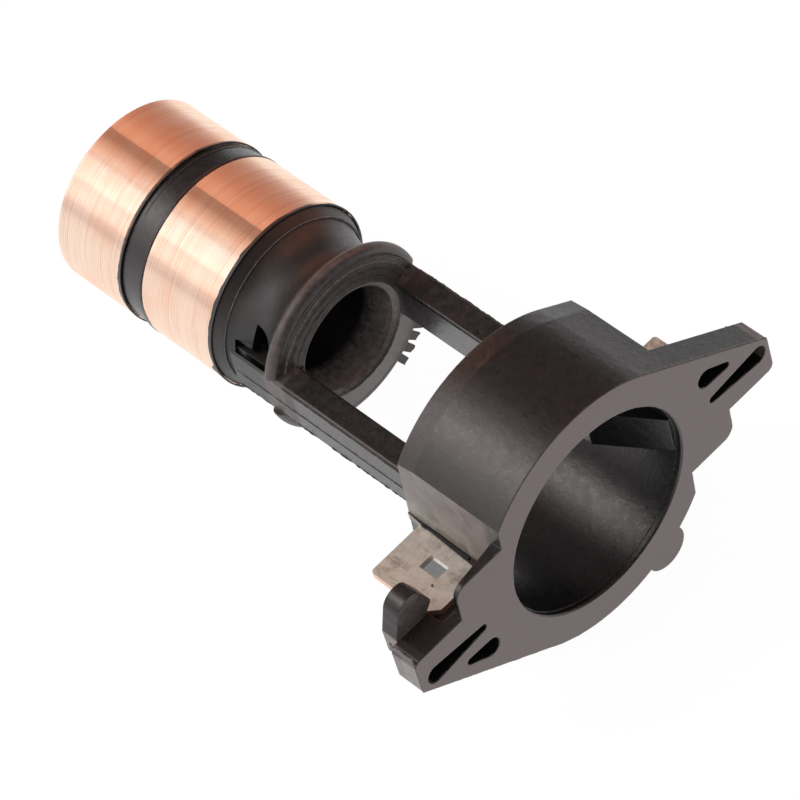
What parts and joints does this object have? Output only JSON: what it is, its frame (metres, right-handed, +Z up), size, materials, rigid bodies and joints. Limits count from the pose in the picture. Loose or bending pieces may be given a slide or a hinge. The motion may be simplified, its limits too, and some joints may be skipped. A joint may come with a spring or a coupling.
{
  "type": "alternator slip ring",
  "caption": "Slip ring for an alternator rotor: copper rings on a moulded hub, joined by slim arms to an eared collar with soldering tabs.",
  "frame": {"origin": "centre of the collar's bore, in the flange's front face", "axes": "+X along the shaft's axis, out of the flange's front face and away from the rings; +Y to the right ear; +Z up, square to the ears"},
  "size_m": [0.0494, 0.0363, 0.0234],
  "materials": {
    "black_moulding": "satin black phenolic moulding",
    "turned_copper": "bright copper, turned round the axis",
    "tinned_strip": "copper strip with a dull tin coat"
  },
  "bodies": {
    "root": {"moulded_body": "black_moulding", "outer_slip_ring": "turned_copper", "inner_slip_ring": "turned_copper", "outer_conductor": "tinned_strip", "inner_conductor": "tinned_strip"}
  },
  "joints": []
}
